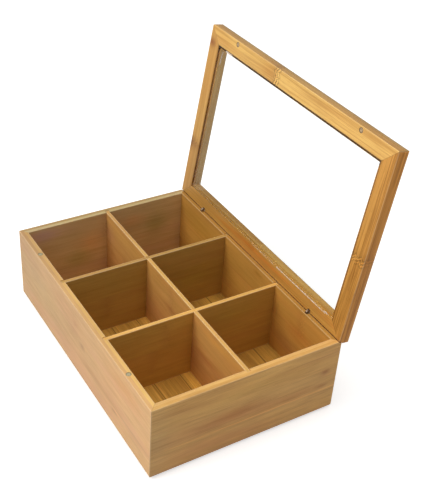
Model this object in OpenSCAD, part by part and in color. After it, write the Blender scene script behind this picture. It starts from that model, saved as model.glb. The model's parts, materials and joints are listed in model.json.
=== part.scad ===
// Tea bag organizer box: a bamboo box with six compartments and a windowed lid.
// Millimetres. +X is the length, -Y the front with the magnets, +Z up.
// The origin is the middle of the underside. The lid is drawn open, resting
// at its stop; turning it by lid_open_angle about the hinge line closes it.

/* [Box] */
// Outside length
box_length = 290; // [250:1:330]
// Outside depth
box_depth = 193; // [170:1:220]
// Height of the box without its lid
box_height = 82; // [65:1:100]
// Thickness of the four walls
wall_thick = 7.5; // [7:0.5:9.5]
// Radius of the rounding round the underside
foot_radius = 6; // [2:0.5:7]
// Radius of the eased edges of rim, corners and dividers
ease_radius = 0.6; // [0.2:0.1:1]

/* [Compartments] */
// Thickness of the dividers
divider_thick = 4; // [3:0.5:8]
// Depth of the grooves that take the ends of the dividers
dado_depth = 3.5; // [2:0.5:4.5]
// How far the dividers stay below the rim
divider_drop = 0.5; // [0.3:0.1:3]

/* [Floor] */
// Thickness of the bottom panel, which lies flush with the foot
floor_level = 8; // [7:0.5:12]
// Thickness of the tongue round the panel
tongue_thick = 4; // [3:0.5:5]
// Depth of the groove in the walls that takes the tongue
floor_groove_depth = 3; // [2:0.5:4.5]

/* [Lid] */
// Thickness of the lid frame
lid_thick = 13; // [11.5:0.5:17]
// Width of the lid frame
lid_frame_width = 19; // [16:0.5:24]
// Radius of the rounding round the upper outside edge of the lid
lid_round_radius = 3.5; // [2:0.5:8]
// Radius of the four upright corners of the lid
lid_corner_radius = 2; // [1:0.5:5]
// Angle between the closed and the open lid
lid_open_angle = 98.5; // [90:0.5:105]
// Gap between the rim and the closed lid
lid_gap = 0.5; // [0.4:0.1:1]

/* [Window] */
// Thickness of the clear pane
pane_thick = 2; // [1.5:0.5:3]
// How far the pane sits above the underside of the lid
pane_setback = 0.5; // [0.2:0.1:1.5]
// Width of the ledge that carries the pane
pane_ledge = 2.5; // [2:0.5:5]
// Radius of the rounding round the upper edge of the window
window_round_radius = 4.5; // [1:0.5:5]

/* [Hinges] */
// Distance from the middle of a hinge to the end of the box
hinge_inset = 48; // [25:1:80]
// Distance from the hinge line to the back face
hinge_setback = 3.4; // [2.6:0.1:3.4]
// Diameter of the hinge barrels
barrel_diameter = 4.6; // [4.4:0.1:5.4]
// Length of the barrel in the back wall
box_barrel_length = 11; // [8:0.5:14]
// Length of the barrel in the lid
lid_barrel_length = 7.5; // [6:0.5:8]
// Width of the curved hinge link
link_width = 1.8; // [1.2:0.1:2]
// Radial thickness of the curved hinge link
link_thick = 1.1; // [0.8:0.1:1.2]
// Radius of the middle of the curved hinge link
link_radius = 2.2; // [2.1:0.1:2.4]

/* [Magnets] */
// Diameter of the magnets
magnet_diameter = 5; // [3:0.5:5.5]
// Thickness of the magnets
magnet_thick = 3; // [2:0.5:5]
// Distance from the middle of a magnet to the end of the box
magnet_inset = 48; // [20:1:80]

/* [Hidden] */
$fn = 64;

columns = 3;  // compartments along the length, two rows of them

// clearances
divider_fit = 0.1;    // each side of a divider in its groove or lap
dado_end_gap = 0.3;   // end of a divider to the end of its groove
floor_fit = 0.1;      // above and below the tongue in its groove
floor_edge_gap = 0.5; // edge of the tongue to the end of its groove
floor_side_gap = 0.2; // between the panel below its tongue and the walls
pane_edge_gap = 0.3;  // edge of the pane to the side of its rebate
bevel_rim_gap = 0.8;  // between the two bevels of the open lid, at the rim
bevel_stop_gap = 0.15; // the same at the back edge, where the lid comes to rest
link_fit = 0.06;      // each side of the link, across the arc
link_side_gap = 0.3;  // each side of the link, along the hinge line
magnet_sink = 0.2;    // face of a magnet below the wood round it
barrel_sink = 0.5;    // end of a barrel below the rim or the lid's underside

barrel_forward = 0.7; // middle of the barrels in front of the middle of the wall
box_bevel_angle = 42; // slope of the bevel on the box; the lid's makes up the rest

// derived positions
half_length = box_length / 2;
half_depth = box_depth / 2;
inner_length = box_length - 2 * wall_thick;
inner_depth = box_depth - 2 * wall_thick;
cell_length = (inner_length - (columns - 1) * divider_thick) / columns;
divider_pitch = cell_length + divider_thick;
divider_top = box_height - divider_drop;
divider_height = divider_top - floor_level;
lap_level = floor_level + divider_height / 2;
hinge_y = half_depth - hinge_setback;
hinge_z = box_height + lid_gap / 2;
hinge_x = half_length - hinge_inset;
barrel_y = half_depth - wall_thick / 2 - barrel_forward;
magnet_x = half_length - magnet_inset;
magnet_y = -half_depth + wall_thick / 2;
lid_base = box_height + lid_gap;
link_reach = lid_open_angle / 2 + 15;
slot_reach = link_reach + 3;
mouth_depth = 0.9;

bamboo = [0.86, 0.66, 0.38];
bamboo_dark = [0.74, 0.53, 0.27];
brass = [0.80, 0.66, 0.36];
steel = [0.62, 0.63, 0.65];
clear = [0.85, 0.93, 0.95, 0.35];

// ---- shared shapes ------------------------------------------------------

// Takes away the corner along +X at the origin, towards +Y and +Z,
// and leaves a quarter round of the given radius.
module edge_cutter(length, radius) {
    difference() {
        translate([-length / 2, -1, -1])
        cube([length, radius + 1, radius + 1]);
        translate([-length / 2 - 1, radius, radius])
        rotate([0, 90, 0])
        cylinder(h = length + 2, r = radius);
    }
}

// A board along X with its outer face on Y = 0 and its ends mitred, the
// upright corners rounded.
module mitred_board(length, thick, height, corner_radius) {
    difference() {
        translate([-length / 2, 0, 0])
        cube([length, thick, height]);
        for (side = [-1, 1])
            translate([side * length / 2, 0, 0])
            rotate([0, 0, side * 45])
            mirror([side < 0 ? 1 : 0, 0, 0])
            translate([0, -length, -1])
            cube([2 * thick, 2 * length, height + 2]);
        for (side = [0, 1])
            mirror([side, 0, 0])
            translate([-length / 2, 0, height / 2])
            rotate([0, 90, 0])
            edge_cutter(height + 2, corner_radius);
    }
}

// Everything of the lid is drawn closed and then laid open.
module laid_open() {
    translate([0, hinge_y, hinge_z])
    rotate([-lid_open_angle, 0, 0])
    translate([0, -hinge_y, -hinge_z])
    children();
}

// The two hinges stand at -hinge_x and +hinge_x.
module at_hinge(side) {
    translate([side * hinge_x, 0, 0])
    children();
}

// ---- box ------------------------------------------------------------------

// A wall along X, outer face on Y = 0: rounded foot, eased rim and a groove
// for the bottom panel.
module wall_blank(length) {
    difference() {
        mitred_board(length, wall_thick, box_height, ease_radius);
        edge_cutter(length + 2, foot_radius);
        translate([0, 0, box_height])
        mirror([0, 0, 1])
        edge_cutter(length + 2, ease_radius);
        translate([0, wall_thick, box_height])
        rotate([180, 0, 0])
        edge_cutter(length + 2, ease_radius);
        translate([-length / 2 - 1, wall_thick - floor_groove_depth,
                   floor_level - tongue_thick - floor_fit])
        cube([length + 2, floor_groove_depth + 1, tongue_thick + 2 * floor_fit]);
    }
}

// The groove in a wall that takes the end of a divider.
module dado() {
    translate([-divider_thick / 2 - divider_fit, wall_thick - dado_depth,
               floor_level - tongue_thick])
    cube([divider_thick + 2 * divider_fit, dado_depth + 1, box_height]);
}

module side_wall() {
    difference() {
        wall_blank(box_length);
        for (side = [-1, 1])
            translate([side * divider_pitch / 2, 0, 0])
            dado();
    }
}

module end_wall() {
    difference() {
        wall_blank(box_depth);
        dado();
    }
}

// Both ends of the slope that bevels the back edge of the box or the lid,
// from the hinge line: one on the rim, one on the back face.
function slope_at_rim(angle) =
    [(lid_gap / 2 - bevel_rim_gap / 2 * cos(angle)) / tan(angle)
     - bevel_rim_gap / 2 * sin(angle), -lid_gap / 2];

function slope_at_back(angle) =
    [hinge_setback,
     -(hinge_setback + bevel_stop_gap / 2 * sin(angle)) * tan(angle)
     - bevel_stop_gap / 2 * cos(angle)];

// What the bevel takes off the back edge so that the lid can swing back.
module bevel_cutter(angle) {
    near_end = slope_at_rim(angle);
    far_end = 2 * slope_at_back(angle) - near_end;
    translate([-half_length - 1, hinge_y, hinge_z])
    rotate([90, 0, 90])
    linear_extrude(height = box_length + 2)
    polygon([near_end, far_end, [far_end[0], wall_thick], [near_end[0], wall_thick]]);
}

module box_bevel() {
    bevel_cutter(box_bevel_angle);
}

module lid_bevel() {
    translate([0, 0, 2 * hinge_z])
    mirror([0, 0, 1])
    bevel_cutter(lid_open_angle - box_bevel_angle);
}

module magnet_at(side, z) {
    translate([side * magnet_x, magnet_y, z])
    cylinder(h = magnet_thick, d = magnet_diameter);
}

module front_wall() {
    color(bamboo)
    difference() {
        translate([0, -half_depth, 0])
        side_wall();
        for (side = [-1, 1])
            translate([side * magnet_x, magnet_y,
                       box_height - magnet_sink - magnet_thick])
            cylinder(h = magnet_thick + 1, d = magnet_diameter);
    }
}

module back_wall() {
    color(bamboo)
    difference() {
        translate([0, half_depth, 0])
        rotate([0, 0, 180])
        side_wall();
        box_bevel();
        for (side = [-1, 1])
            at_hinge(side)
            translate([0, barrel_y, box_height - box_barrel_length])
            cylinder(h = box_barrel_length + 1, d = barrel_diameter);
    }
}

module end_wall_beveled(side) {
    difference() {
        translate([side * half_length, 0, 0])
        rotate([0, 0, side * 90])
        end_wall();
        box_bevel();
    }
}

module left_end_wall() {
    color(bamboo)
    end_wall_beveled(-1);
}

module right_end_wall() {
    color(bamboo)
    end_wall_beveled(1);
}

// A divider board along X, middle on the origin, with eased upper edges.
module divider_board(length) {
    difference() {
        translate([-length / 2, -divider_thick / 2, floor_level])
        cube([length, divider_thick, divider_height]);
        for (side = [0, 180])
            rotate([0, 0, side])
            translate([0, -divider_thick / 2, divider_top])
            mirror([0, 0, 1])
            edge_cutter(length + 2, ease_radius);
    }
}

function divider_length(inner) = inner + 2 * (dado_depth - dado_end_gap);

// The long divider is notched from above, the cross dividers from below.
module long_divider() {
    color(bamboo)
    difference() {
        divider_board(divider_length(inner_length));
        for (side = [-1, 1])
            translate([side * divider_pitch / 2 - divider_thick / 2 - divider_fit,
                       -divider_thick, lap_level])
            cube([divider_thick + 2 * divider_fit, 2 * divider_thick, box_height]);
    }
}

module cross_divider(side) {
    color(bamboo)
    translate([side * divider_pitch / 2, 0, 0])
    rotate([0, 0, 90])
    difference() {
        divider_board(divider_length(inner_depth));
        translate([-divider_thick / 2 - divider_fit, -divider_thick, 0])
        cube([divider_thick + 2 * divider_fit, 2 * divider_thick, lap_level]);
    }
}

module cross_divider_left() {
    cross_divider(-1);
}

module cross_divider_right() {
    cross_divider(1);
}

// A block between the walls that reaches past them by "reach", with its top
// at the level of the floor.
module floor_block(reach, thick) {
    translate([-inner_length / 2 - reach, -inner_depth / 2 - reach,
               floor_level - thick])
    cube([inner_length + 2 * reach, inner_depth + 2 * reach, thick]);
}

// The tongue sits in the groove of the walls, and the underside is flush
// with the foot of the walls.
module bottom_panel() {
    color(bamboo_dark)
    union() {
        floor_block(-floor_side_gap, floor_level);
        floor_block(floor_groove_depth - floor_edge_gap, tongue_thick);
    }
}

module box_magnet(side) {
    color(steel)
    magnet_at(side, box_height - magnet_sink - magnet_thick);
}

module box_magnet_left() {
    box_magnet(-1);
}

module box_magnet_right() {
    box_magnet(1);
}

// ---- lid ------------------------------------------------------------------

// A rail of the lid along X, outer face on Y = 0, underside on Z = 0.
module lid_rail(length) {
    difference() {
        mitred_board(length, lid_frame_width, lid_thick, lid_corner_radius);
        translate([0, 0, lid_thick])
        mirror([0, 0, 1])
        edge_cutter(length + 2, lid_round_radius);
        edge_cutter(length + 2, ease_radius);
        translate([0, lid_frame_width, lid_thick])
        rotate([180, 0, 0])
        edge_cutter(length + 2, window_round_radius);
        translate([-length / 2 - 1, lid_frame_width - pane_ledge, -1])
        cube([length + 2, pane_ledge + 1, pane_setback + pane_thick + 1]);
    }
}

module lid_front_rail() {
    color(bamboo)
    laid_open()
    difference() {
        translate([0, -half_depth, lid_base])
        lid_rail(box_length);
        for (side = [-1, 1])
            translate([side * magnet_x, magnet_y, lid_base - 1])
            cylinder(h = magnet_thick + magnet_sink + 1, d = magnet_diameter);
    }
}

module lid_back_rail() {
    color(bamboo)
    laid_open()
    difference() {
        translate([0, half_depth, lid_base])
        rotate([0, 0, 180])
        lid_rail(box_length);
        lid_bevel();
        for (side = [-1, 1])
            at_hinge(side)
            translate([0, barrel_y, lid_base - 1])
            cylinder(h = lid_barrel_length + 1, d = barrel_diameter);
    }
}

module lid_stile(side) {
    color(bamboo)
    laid_open()
    difference() {
        translate([side * half_length, 0, lid_base])
        rotate([0, 0, side * 90])
        lid_rail(box_depth);
        lid_bevel();
    }
}

module lid_left_stile() {
    lid_stile(-1);
}

module lid_right_stile() {
    lid_stile(1);
}

module window_pane() {
    inset = lid_frame_width - pane_ledge + pane_edge_gap;
    color(clear)
    laid_open()
    translate([-half_length + inset, -half_depth + inset, lid_base + pane_setback])
    cube([box_length - 2 * inset, box_depth - 2 * inset, pane_thick]);
}

module lid_magnet(side) {
    color(steel)
    laid_open()
    magnet_at(side, lid_base + magnet_sink);
}

module lid_magnet_left() {
    lid_magnet(-1);
}

module lid_magnet_right() {
    lid_magnet(1);
}

// ---- hinges -----------------------------------------------------------------

// A sector of a ring round the hinge line, from the -Y direction by "reach"
// degrees to both sides.
module ring_sector(inner_radius, outer_radius, width, reach) {
    rotate([0, 90, 0])
    intersection() {
        difference() {
            cylinder(h = width, r = outer_radius, center = true);
            cylinder(h = width + 1, r = inner_radius, center = true);
        }
        for (side = [-1, 1])
            intersection() {
                rotate([0, 0, side * (reach - 90)])
                translate([-10, -20, -width])
                cube([20, 20, 2 * width]);
                translate([side < 0 ? -10 : 0, -20, -width])
                cube([10, 40, 2 * width]);
            }
    }
}

// The slot for the link, cut into both barrels of a hinge.
module link_slot(side) {
    at_hinge(side)
    translate([0, hinge_y, hinge_z]) {
        ring_sector(link_radius - link_thick / 2 - link_fit,
                    link_radius + link_thick / 2 + link_fit,
                    link_width + 2 * link_side_gap, slot_reach);
        mouth = link_radius + link_thick / 2 + link_fit + 0.1;
        translate([-link_width / 2 - link_side_gap, -mouth, -mouth_depth])
        cube([link_width + 2 * link_side_gap, mouth + barrel_diameter,
              2 * mouth_depth]);
    }
}

module box_barrel(side) {
    color(brass)
    difference() {
        at_hinge(side)
        translate([0, barrel_y, box_height - box_barrel_length])
        cylinder(h = box_barrel_length - barrel_sink, d = barrel_diameter);
        translate([0, 0, -barrel_sink])
        box_bevel();
        link_slot(side);
    }
}

module box_barrel_left() {
    box_barrel(-1);
}

module box_barrel_right() {
    box_barrel(1);
}

module lid_barrel(side) {
    color(brass)
    laid_open()
    difference() {
        at_hinge(side)
        translate([0, barrel_y, lid_base + barrel_sink])
        cylinder(h = lid_barrel_length - barrel_sink, d = barrel_diameter);
        translate([0, 0, barrel_sink])
        lid_bevel();
        link_slot(side);
    }
}

module lid_barrel_left() {
    lid_barrel(-1);
}

module lid_barrel_right() {
    lid_barrel(1);
}

// The link turns half as far as the lid, so with the lid open it stands
// half way between the rim and the underside of the lid.
module hinge_link(side) {
    color(brass)
    at_hinge(side)
    translate([0, hinge_y, hinge_z])
    rotate([-lid_open_angle / 2, 0, 0])
    ring_sector(link_radius - link_thick / 2, link_radius + link_thick / 2,
                link_width, link_reach);
}

module hinge_link_left() {
    hinge_link(-1);
}

module hinge_link_right() {
    hinge_link(1);
}

// ---- parts --------------------------------------------------------------------

front_wall();
back_wall();
left_end_wall();
right_end_wall();
long_divider();
cross_divider_left();
cross_divider_right();
bottom_panel();
box_magnet_left();
box_magnet_right();
box_barrel_left();
box_barrel_right();
lid_front_rail();
lid_back_rail();
lid_left_stile();
lid_right_stile();
window_pane();
lid_magnet_left();
lid_magnet_right();
lid_barrel_left();
lid_barrel_right();
hinge_link_left();
hinge_link_right();
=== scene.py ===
# %% [markdown]
# # A bamboo tea bag box with six compartments and a windowed lid
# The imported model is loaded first. It gives every wooden board, the window
# pane, the magnets and the hinges as separate objects in metres, already in
# their places. This script gives them their finishes, cuts the pane anew with
# broken edges, adds the dried glue at the window, and sets up the camera, the
# floor and the light.

# %% Load the model
import json
import math
import random
from functools import partial

import bpy
from mathutils import Matrix, Vector


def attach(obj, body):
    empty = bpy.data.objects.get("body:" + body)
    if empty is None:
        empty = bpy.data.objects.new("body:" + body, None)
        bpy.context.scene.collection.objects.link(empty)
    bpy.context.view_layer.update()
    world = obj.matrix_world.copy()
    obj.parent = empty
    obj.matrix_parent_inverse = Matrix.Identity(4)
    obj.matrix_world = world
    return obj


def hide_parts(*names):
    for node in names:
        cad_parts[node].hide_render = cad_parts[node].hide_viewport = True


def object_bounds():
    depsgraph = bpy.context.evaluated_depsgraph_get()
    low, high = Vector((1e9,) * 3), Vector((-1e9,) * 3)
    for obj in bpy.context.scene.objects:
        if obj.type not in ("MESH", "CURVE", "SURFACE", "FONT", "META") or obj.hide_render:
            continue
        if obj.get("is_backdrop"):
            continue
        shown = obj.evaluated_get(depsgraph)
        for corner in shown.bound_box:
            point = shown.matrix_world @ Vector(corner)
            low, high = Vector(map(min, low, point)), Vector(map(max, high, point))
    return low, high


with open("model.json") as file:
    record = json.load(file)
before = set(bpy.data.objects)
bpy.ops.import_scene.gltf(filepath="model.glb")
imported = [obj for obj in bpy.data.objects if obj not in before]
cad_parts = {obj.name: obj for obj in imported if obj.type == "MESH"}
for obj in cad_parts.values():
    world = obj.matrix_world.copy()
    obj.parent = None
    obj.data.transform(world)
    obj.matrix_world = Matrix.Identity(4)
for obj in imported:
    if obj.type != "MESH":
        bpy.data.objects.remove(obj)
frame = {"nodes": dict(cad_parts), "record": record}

cad_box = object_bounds()
bpy.ops.object.select_all(action="DESELECT")

# %% [markdown]
# ## Camera
# The box is seen from its front right corner and from above. A long lens
# keeps the two sides nearly parallel. The camera leans about four degrees,
# as a hand-held one does, so it gets its place and its three angles directly
# instead of a target to look at.

# %% Camera
camera_data = bpy.data.cameras.new("view")
camera = bpy.data.objects.new("view", camera_data)
bpy.context.scene.collection.objects.link(camera)
camera.location = (0.61819, -0.35660, 0.62050)
camera.rotation_euler = [math.radians(a) for a in (55.033, -3.435, 59.217)]
camera_data.sensor_width = 36
camera_data.lens = 67.10
camera_data.clip_start = 0.01
bpy.context.scene.camera = camera
print("camera is", round(camera.location.length, 3), "m from the middle of the box")

# %% [markdown]
# ## Helpers for numbers
# A material is a tree of nodes joined by links. These helpers make one node
# each and join what they are given, so that a formula reads as one line. A
# value that isn't a socket is typed into the input instead. sums gives the
# commonest ones short names for one tree.

# %% Number helpers
def feed(tree, value, socket):
    """Joins a socket to an input, or types a plain value into it."""
    if isinstance(value, bpy.types.NodeSocket):
        tree.links.new(value, socket)
    elif value is not None:
        socket.default_value = value


def calc(tree, operation, a, b=None, c=None):
    """One Math node."""
    n = tree.nodes.new("ShaderNodeMath")
    n.operation = operation
    for socket, value in zip(n.inputs, (a, b, c)):
        feed(tree, value, socket)
    return n.outputs[0]


def sums(tree):
    """The sums used most in one tree: a + b, a - b, a * b, a * b + c, and |a|."""
    names = ("ADD", "SUBTRACT", "MULTIPLY", "MULTIPLY_ADD", "ABSOLUTE")
    return [partial(calc, tree, name) for name in names]


def ramp(tree, value, low, high, to_low=0.0, to_high=1.0, shape="SMOOTHSTEP"):
    """A step from to_low at low to to_high at high, soft unless shape is LINEAR."""
    n = tree.nodes.new("ShaderNodeMapRange")
    n.interpolation_type = shape
    for socket, v in zip(n.inputs, (value, low, high, to_low, to_high)):
        feed(tree, v, socket)
    return n.outputs[0]


def clamped(tree, value):
    """The value, held between 0 and 1."""
    n = tree.nodes.new("ShaderNodeClamp")
    tree.links.new(value, n.inputs[0])
    return n.outputs[0]


print("number helpers ready")

# %% [markdown]
# ## Helpers for colours, vectors and noise
# A Mix node has sockets for numbers, vectors and colours one after another,
# so its colours are inputs 6 and 7 and output 2. Noise with one scale on each
# axis is made by stretching the vector that goes into it.

# %% Colour, vector and noise helpers
def blend_colours(tree, factor, a, b, mode="MIX"):
    """Colour a where factor is 0, and b, or a times b, where it is 1."""
    n = tree.nodes.new("ShaderNodeMix")
    n.data_type = "RGBA"
    n.blend_type = mode
    feed(tree, factor, n.inputs[0])
    feed(tree, a, n.inputs[6])
    feed(tree, b, n.inputs[7])
    return n.outputs[2]


def pack(tree, x, y, z):
    """A vector made of three numbers."""
    n = tree.nodes.new("ShaderNodeCombineXYZ")
    for socket, v in zip(n.inputs, (x, y, z)):
        feed(tree, v, socket)
    return n.outputs[0]


def unpack(tree, vector):
    """The three numbers of a vector."""
    n = tree.nodes.new("ShaderNodeSeparateXYZ")
    tree.links.new(vector, n.inputs[0])
    return n.outputs[0], n.outputs[1], n.outputs[2]


def noise(tree, vector, detail, scale=1.0):
    """Cloudy noise from 0 to 1."""
    n = tree.nodes.new("ShaderNodeTexNoise")
    n.inputs["Scale"].default_value = scale
    n.inputs["Detail"].default_value = detail
    tree.links.new(vector, n.inputs["Vector"])
    return n.outputs[0]


print("colour, vector and noise helpers ready")

# %% [markdown]
# ## Helpers for materials
# These start a material, give it to an object, and join the three things
# that every finish here has: colour, roughness and small bumps.

# %% Material helpers
def new_material(name):
    """A material with its tree and its Principled shader."""
    material = bpy.data.materials.new(name)
    material.use_nodes = True
    return material, material.node_tree, material.node_tree.nodes["Principled BSDF"]


def dress(piece, material):
    """Gives a CAD object this material alone."""
    piece.data.materials.clear()
    piece.data.materials.append(material)


def finish_surface(tree, shader, colour, roughness, height, strength, distance):
    """Joins colour, roughness and bumps of one strength and height to a shader."""
    bump = tree.nodes.new("ShaderNodeBump")
    bump.inputs["Strength"].default_value = strength
    bump.inputs["Distance"].default_value = distance
    tree.links.new(height, bump.inputs["Height"])
    tree.links.new(colour, shader.inputs["Base Color"])
    tree.links.new(roughness, shader.inputs["Roughness"])
    tree.links.new(bump.outputs["Normal"], shader.inputs["Normal"])


def mottle(tree, scale, detail):
    """Cloudy noise over the whole object."""
    source = tree.nodes.new("ShaderNodeTexCoord")
    return noise(tree, source.outputs["Object"], detail, scale)


print("material helpers ready")

# %% [markdown]
# ## Helpers for groups
# A node group is a small tree of its own with named inputs and outputs, so
# one formula serves many materials.

# %% Group helpers
def new_group(name, inputs, outputs):
    """An empty node group. inputs is {name: default}, where None makes a vector,
    and outputs is {name: kind}."""
    group = bpy.data.node_groups.new(name, "ShaderNodeTree")
    for key, default in inputs.items():
        if default is None:
            kind = "NodeSocketVector"
        elif isinstance(default, tuple):
            kind = "NodeSocketColor"
        else:
            kind = "NodeSocketFloat"
        socket = group.interface.new_socket(key, in_out="INPUT", socket_type=kind)
        if default is not None:
            socket.default_value = default
    for key, kind in outputs.items():
        group.interface.new_socket(key, in_out="OUTPUT", socket_type=kind)
    source = group.nodes.new("NodeGroupInput")
    sink = group.nodes.new("NodeGroupOutput")
    return group, source.outputs, sink.inputs


def use_group(tree, group, vector, **values):
    """A node of the group, with its Vector joined and its other inputs typed in."""
    n = tree.nodes.new("ShaderNodeGroup")
    n.node_tree = group
    tree.links.new(vector, n.inputs["Vector"])
    for key, value in values.items():
        socket = n.inputs[key.replace("_", " ").title()]
        socket.default_value = (*value, 1) if isinstance(value, tuple) else value
    return n


print("group helpers ready")

# %% [markdown]
# ## Floor and background
# The box stands on white paper. A white floor that is only lit looks grey,
# and more lamps would bleach the wood. So the floor and the world add their
# own white for rays that come from the camera, a shiny surface or glass,
# which the Light Path node tells apart. A ray that has already bounced off
# something matt doesn't get the extra white, even when it goes through the
# pane. So the extra white never lights the wood, and a soft contact shadow
# stays.

# %% Rays that get the extra white
scene = bpy.context.scene
scene.view_settings.view_transform = "Standard"


def seen_directly(tree):
    """1 for rays from the camera, from a mirror-like surface or through glass."""
    path = tree.nodes.new("ShaderNodeLightPath")
    seen = path.outputs["Is Camera Ray"]
    for name in ("Is Glossy Ray", "Is Transmission Ray"):
        seen = calc(tree, "MAXIMUM", seen, path.outputs[name])
    not_from_matt = calc(tree, "LESS_THAN", path.outputs["Diffuse Depth"], 0.5)
    return calc(tree, "MULTIPLY", seen, not_from_matt)


print("view transform:", scene.view_settings.view_transform)

# %% [markdown]
# ## Paper floor
# The paper is a matt surface plus a glow. Far from the box the lamps reach
# the paper less, so its glow grows with the distance, until the far paper is
# as white as the background behind it.

# %% Paper floor
PAPER = (0.80, 0.80, 0.80, 1)
GLOW_FROM, GLOW_TO = 1.0, 2.5     # metres from the box's middle
GLOW_NEAR, GLOW_FAR = 0.62, 1.0   # the paper's own white there

bpy.ops.mesh.primitive_plane_add(size=16, location=(0, 0, 0))
floor = bpy.context.object
floor.name = "paper_floor"
paper = bpy.data.materials.new("white_paper")
paper.use_nodes = True
tree = paper.node_tree
tree.nodes.clear()
matt = tree.nodes.new("ShaderNodeBsdfDiffuse")
matt.inputs["Color"].default_value = PAPER
spot = tree.nodes.new("ShaderNodeTexCoord")
away = tree.nodes.new("ShaderNodeVectorMath")
away.operation = "LENGTH"
tree.links.new(spot.outputs["Object"], away.inputs[0])
white = ramp(tree, away.outputs["Value"], GLOW_FROM, GLOW_TO, GLOW_NEAR, GLOW_FAR, "LINEAR")
glow = tree.nodes.new("ShaderNodeEmission")
tree.links.new(calc(tree, "MULTIPLY", seen_directly(tree), white), glow.inputs["Strength"])
both = tree.nodes.new("ShaderNodeAddShader")
tree.links.new(matt.outputs[0], both.inputs[0])
tree.links.new(glow.outputs[0], both.inputs[1])
out = tree.nodes.new("ShaderNodeOutputMaterial")
tree.links.new(both.outputs[0], out.inputs["Surface"])
floor.data.materials.append(paper)
floor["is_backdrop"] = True
print("floor", round(floor.dimensions.x, 1), "m, glow", GLOW_NEAR, "to", GLOW_FAR)

# %% [markdown]
# ## World
# The world lights the box softly from all round, and is plain white where it
# is seen directly.

# %% World
WORLD_LIGHT = 0.30
world = bpy.data.worlds.new("studio")
scene.world = world
world.use_nodes = True
tree = world.node_tree
sky = tree.nodes["Background"]
sky.inputs["Color"].default_value = (1, 1, 1, 1)
level = ramp(tree, seen_directly(tree), 0.0, 1.0, WORLD_LIGHT, 1.0, "LINEAR")
tree.links.new(level, sky.inputs["Strength"])
print("world light", WORLD_LIGHT)

# %% [markdown]
# ## Lamps
# One large soft lamp hangs in front of the box and to the left, so the front
# and the faces that look the same way are bright and the right end is in
# half shade. A wide weak lamp straight above lightens the rim. Large lamps
# give the soft edges of shadow inside the compartments.

# %% Lamps
def soft_lamp(name, place, target, size, power, colour):
    """A round area lamp, size metres wide, that looks from place to target."""
    data = bpy.data.lights.new(name, "AREA")
    data.shape = "DISK"
    data.size = size
    data.energy = power
    data.color = colour
    lamp = bpy.data.objects.new(name, data)
    scene.collection.objects.link(lamp)
    lamp.location = place
    aim = Vector(target) - Vector(place)
    lamp.rotation_euler = aim.to_track_quat("-Z", "Y").to_euler()
    print(name, power, "W at", place)


soft_lamp("key", (-0.35, -1.75, 1.45), (0, 0, 0.1), 1.1, 23, (1.0, 0.985, 0.96))
soft_lamp("top", (0.1, -0.1, 2.2), (0, 0, 0), 1.4, 17, (1.0, 0.99, 0.97))

# %% [markdown]
# ## Bamboo
# A bamboo board is glued up from strips of cane, each with its own tone. Long
# fibres run along a strip, with short dark pores between them. Where the
# cane had a joint the strip has a knuckle: a pale zigzag across it with a
# brown shade round it, and the streaks on its two sides don't meet. The
# group gets coordinates that are already turned, so X always runs along the
# fibres and Y across the strips. Noise that is stretched a hundred times
# along X makes the fibres. One group serves every board, with its own colours
# and strip width on each.

# %% Bamboo group: inputs and strips
NO_TINT = (1, 1, 1, 1)
bamboo, given, result = new_group(
    "bamboo_strips",
    {"Vector": None, "Light": (0.70, 0.47, 0.25, 1), "Dark": (0.52, 0.31, 0.14, 1),
     "Red": (0.60, 0.33, 0.20, 1), "Ply Tint": NO_TINT, "Outer Tint": NO_TINT,
     "Far Tint": NO_TINT, "Inner Tint": NO_TINT, "Roof Tint": NO_TINT,
     "Inner At": 0.0, "Far From": 0.0045, "Far To": 0.0095, "Ply At": 0.0,
     "Shorten": 1.0, "Drift": 0.0, "Top At": 1.0, "Top Gain": 0.0,
     "Strip Width": 0.0275, "Strip Shift": 0.0, "Seed": 0.0, "Streaks": 0.5,
     "Long Lines": 0.2, "Strip Contrast": 0.1, "Seam": 0.3, "Red Patches": 0.4,
     "Clouds": 0.1, "Knuckle At": 0.0, "Knuckle Pitch": 0.26,
     "Knuckle Scatter": 1.0, "Knuckle": 0.5, "Knuckle Shade": 0.2},
    {"Color": "NodeSocketColor", "Roughness": "NodeSocketFloat",
     "Height": "NodeSocketFloat"})
t = bamboo
add, sub, mul, mul_add, absolute = sums(t)
x, y, z = unpack(t, given["Vector"])

across = calc(t, "DIVIDE", add(y, given["Strip Shift"]), given["Strip Width"])
strip = calc(t, "FLOOR", across)
inside = sub(across, strip)
dice = t.nodes.new("ShaderNodeTexWhiteNoise")
dice.noise_dimensions = "2D"
t.links.new(pack(t, strip, given["Seed"], 0.0), dice.inputs["Vector"])
own, own_2, own_3 = unpack(t, dice.outputs["Color"])   # three dice of each strip


def grain(along_scale, across_scale, detail, offset=0.0):
    """Noise with one scale along the fibres and another across them."""
    return noise(t, pack(t, mul_add(x, along_scale, offset), mul(y, across_scale),
                         mul_add(z, across_scale, given["Seed"])), detail)


def bell(value, centre, width):
    """1 at centre, falling off softly over width to both sides."""
    value = calc(t, "DIVIDE", sub(value, centre), width)
    return calc(t, "EXPONENT", mul(mul(value, value), -1))


print("bamboo group started,", len(t.nodes), "nodes")

# %% [markdown]
# ## Knuckles
# The zigzag is a saw wave across the fibres that pushes the knuckle's lines
# to and fro, and noise makes its teeth uneven. Each line is a bell curve
# beside the knuckle, so its place, width and strength are three numbers.

# %% Bamboo group: knuckles
ZIG_PITCH, ZIG_HEIGHT = 0.0058, 0.0017
# A line's place beside the zigzag and its width in metres, and its strength.
PALE_LINES = ((0.0, 0.0009, 1.0), (0.0034, 0.0008, 0.9))
BROWN_LINES = ((0.0017, 0.0006, 1.0), (-0.0018, 0.0007, 0.6), (0.0050, 0.0006, 0.7))

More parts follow.
